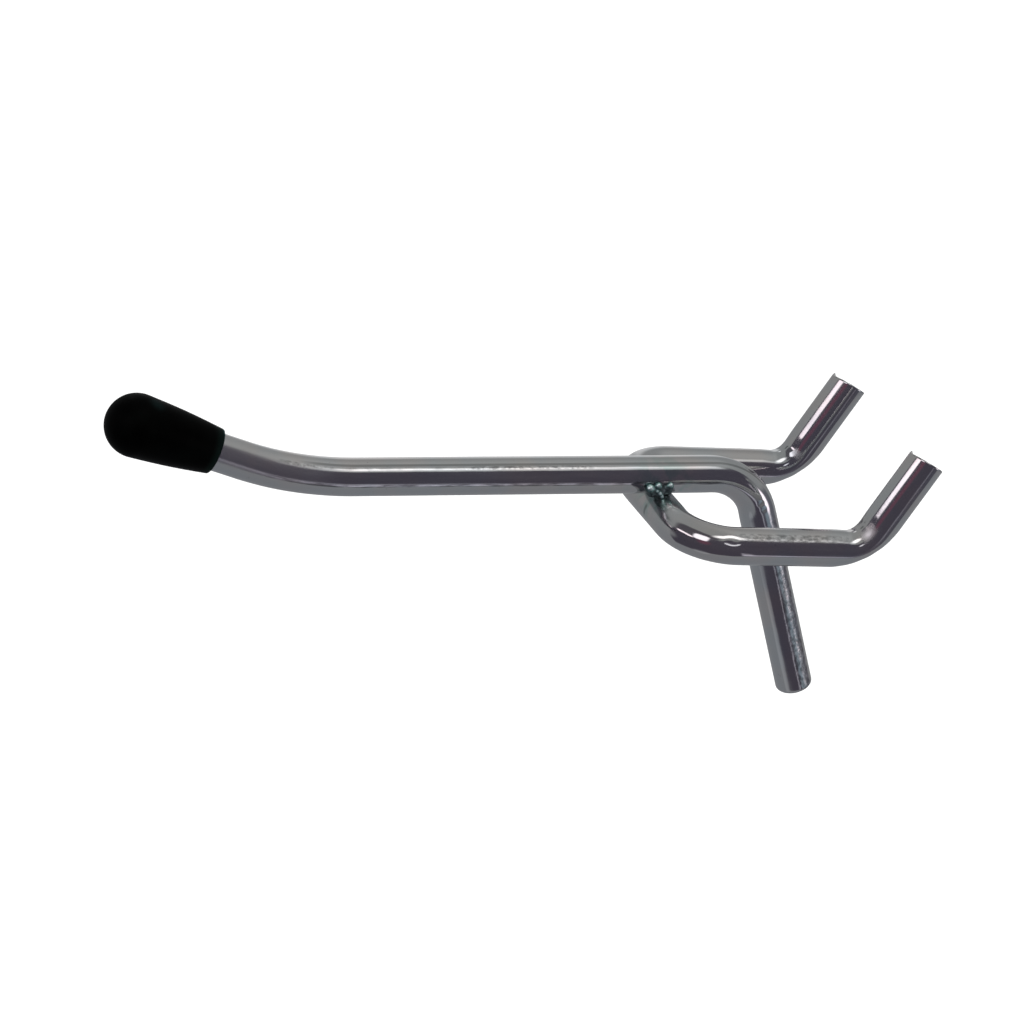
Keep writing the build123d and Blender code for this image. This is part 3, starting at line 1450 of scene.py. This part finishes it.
@dataclass(frozen=True)
class SoftLight:
    """One soft light of the studio as the bright wire reflects it, with angles in degrees.

    Azimuth 0 is towards -Y and 90 towards +X.
    """

    azimuth: float
    elevation: float
    half_width: float
    half_height: float
    colour: Colour
    strength: float
    tilt: float
    softness: float
    boxy: bool = False

    def axes(self) -> tuple[Vector, Vector, Vector]:
        """Direction of the light and its two cross axes.

        Returns:
            The direction, the width axis and the height axis.
        """
        azimuth, elevation, tilt = map(math.radians, (self.azimuth, self.elevation, self.tilt))
        flat = math.cos(elevation)
        towards = Vector(
            (flat * math.sin(azimuth), -flat * math.cos(azimuth), math.sin(elevation))
        )
        width = Vector((math.cos(azimuth), math.sin(azimuth), 0))
        height = towards.cross(width)
        return (
            towards,
            width * math.cos(tilt) + height * math.sin(tilt),
            height * math.cos(tilt) - width * math.sin(tilt),
        )

    def share(self, graph: Graph, direction: Socket) -> Socket:
        """How much of this light is seen in a direction.

        Args:
            graph: The world's graph.
            direction: The direction looked in.

        Returns:
            The share, from 0 to 1.
        """
        towards, width, height = self.axes()
        wide, high = (math.sin(math.radians(a)) for a in (self.half_width, self.half_height))
        u = graph.vector("DOT_PRODUCT", direction, width / wide)
        v = graph.vector("DOT_PRODUCT", direction, height / high)
        if self.boxy:
            u, v = graph.times(u, u), graph.times(v, v)
        edge = graph.vector("LENGTH", graph.combine(u, v, 0))
        lit = graph.step(edge, 1 + self.softness, 1 - self.softness)
        front = graph.vector("DOT_PRODUCT", direction, towards)
        return graph.times(lit, graph.math("GREATER_THAN", front, 0))


SHADES = (
    SoftLight(78, -11, 29, 20, (0.155, 0.155, 0.18), 1.0, 0, 0.3, boxy=True),
    SoftLight(-66, 40, 34, 24, (0.1, 0.095, 0.11), 1.0, 0, 0.25, boxy=True),
    SoftLight(-16, -3, 80, 42, (0.074, 0.067, 0.088), 1.0, 12, 0.07, boxy=True),
    SoftLight(-138, 29, 13, 6, (0.09, 0.1, 0.1), 1.0, 0, 0.4),
)
LIGHTS = (
    SoftLight(-81, 23, 15, 3.4, (1.0, 0.89, 0.93), 1.8, -5, 0.3, boxy=True),
    SoftLight(-52, 34, 12, 13, (1.0, 0.97, 1.02), 1.6, 0, 0.35, boxy=True),
    SoftLight(-52, -52, 11, 9, (1.0, 1.03, 1.07), 0.08, 0, 0.15),
    SoftLight(-44, 13, 10, 10, (1.0, 0.0, 0.14), 0.075, 20, 0.6),
    SoftLight(12, 64, 18, 7, (1.0, 0.97, 0.97), 1.8, 0, 0.5),
    SoftLight(5, 31, 7, 3, (1.0, 1.0, 1.05), 1.1, 0, 0.5),
    SoftLight(40, 54, 12, 6, (1.0, 1.0, 1.02), 0.4, -30, 0.5),
    SoftLight(27, -31, 5, 3.5, (1.0, 0.98, 1.1), 0.42, 0, 0.6),
    SoftLight(100, 60, 26, 14, (1.0, 1.0, 0.97), 0.1, 0, 0.8),
    SoftLight(176, 34, 6, 4, (0.97, 0.98, 1.0), 1.4, 0, 0.6),
    SoftLight(61, -1, 13, 10, (1.0, 0.88, 0.93), 2.0, 0, 0.4),
    SoftLight(58, -18, 20, 7, (0.72, 0.96, 1.06), 0.28, 5, 0.5),
    SoftLight(22, -24, 3, 7, (0.97, 0.95, 1.05), 0.3, 30, 0.6),
    SoftLight(158, 2, 8, 20, (1.0, 1.0, 1.0), 0.4, 0, 0.7),
)


@dataclass(frozen=True)
class Studio:
    """Pale floor, soft light all round, and the grey surround that the bright wire reflects."""

    floor_drop: float = 0.06  # metres from the object's lowest point
    floor_half: float = 30.0  # metres
    light_all_round: float = 1.3
    above: Colour = (0.33, 0.34, 0.335)
    level: Colour = (0.31, 0.315, 0.32)
    below: Colour = (0.25, 0.26, 0.28)

    def build_floor(self, lowest: float) -> None:
        """Lays the floor below the object, out of its reflections.

        Args:
            lowest: The object's lowest height in metres.
        """
        half, height = self.floor_half, lowest - self.floor_drop
        corners = [(-half, -half), (half, -half), (half, half), (-half, half)]
        mesh = bpy.data.meshes.new("studio_floor")
        mesh.from_pydata([(x, y, height) for x, y in corners], [], [(0, 1, 2, 3)])
        mesh.materials.append(FloorFinish().build())
        floor = add_object("studio_floor", mesh)
        floor.visible_glossy = False
        floor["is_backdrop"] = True

    def build_world(self) -> None:
        """Lights the object: even light on matt things, and the surround in reflections."""
        world = bpy.data.worlds.new("studio")
        bpy.context.scene.world = world
        world.use_nodes = True
        graph = Graph(world.node_tree)
        direction = graph.add("ShaderNodeTexCoord").outputs["Generated"]
        level = graph.math("MULTIPLY_ADD", graph.split(direction)[2], 0.5, 0.5)
        colour = graph.ramp(level, [(0.0, self.below), (0.5, self.level), (1.0, self.above)])
        for shade in SHADES:
            colour = graph.blend(shade.share(graph, direction), colour, shade.colour)
        for light in LIGHTS:
            lit = graph.vector("SCALE", light.colour, light.share(graph, direction))
            lit = graph.vector("SCALE", lit, light.strength)
            colour = graph.vector("ADD", colour, lit)
        seen = graph.out("ShaderNodeBackground", {"Color": colour, "Strength": 1.0})
        inputs = {"Color": (1, 1, 1, 1), "Strength": self.light_all_round}
        plain = graph.out("ShaderNodeBackground", inputs)
        ray = graph.add("ShaderNodeLightPath").outputs["Is Glossy Ray"]
        both = graph.out("ShaderNodeMixShader", {0: ray, 1: plain, 2: seen})
        graph.add("ShaderNodeOutputWorld", {0: both})
        view = bpy.context.scene.view_settings
        view.view_transform = "Standard"
        view.look = "None"


@dataclass(frozen=True)
class StudioCamera:
    """The camera at the photograph's viewing angle, in metres and degrees."""

    place: Point = (-0.280187, -0.510199, 0.248366)
    turn: Point = (65.821628, -9.008774, -20.697998)
    lens: float = 165.52
    sensor: float = 36.0
    nearest: float = 0.01

    def build(self) -> None:
        """Creates the camera and makes it the scene's camera."""
        data = bpy.data.cameras.new("photo_view")
        data.lens = self.lens
        data.sensor_width = self.sensor
        data.sensor_fit = "HORIZONTAL"
        data.clip_start = self.nearest
        camera = bpy.data.objects.new("photo_view", data)
        camera.location = self.place
        camera.rotation_euler = Euler([math.radians(angle) for angle in self.turn])
        bpy.context.collection.objects.link(camera)
        bpy.context.scene.camera = camera


def main() -> None:
    """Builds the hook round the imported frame, then the studio and the camera."""
    logging.basicConfig(level=logging.INFO, format="%(name)s: %(message)s")
    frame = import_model()
    cad_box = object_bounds()
    LOG.info("frame with nodes %s", ", ".join(sorted(frame["nodes"])))
    DoubleHook().build()
    studio = Studio()
    studio.build_floor(cad_box[0][2])
    studio.build_world()
    StudioCamera().build()


if __name__ == "__main__":
    main()
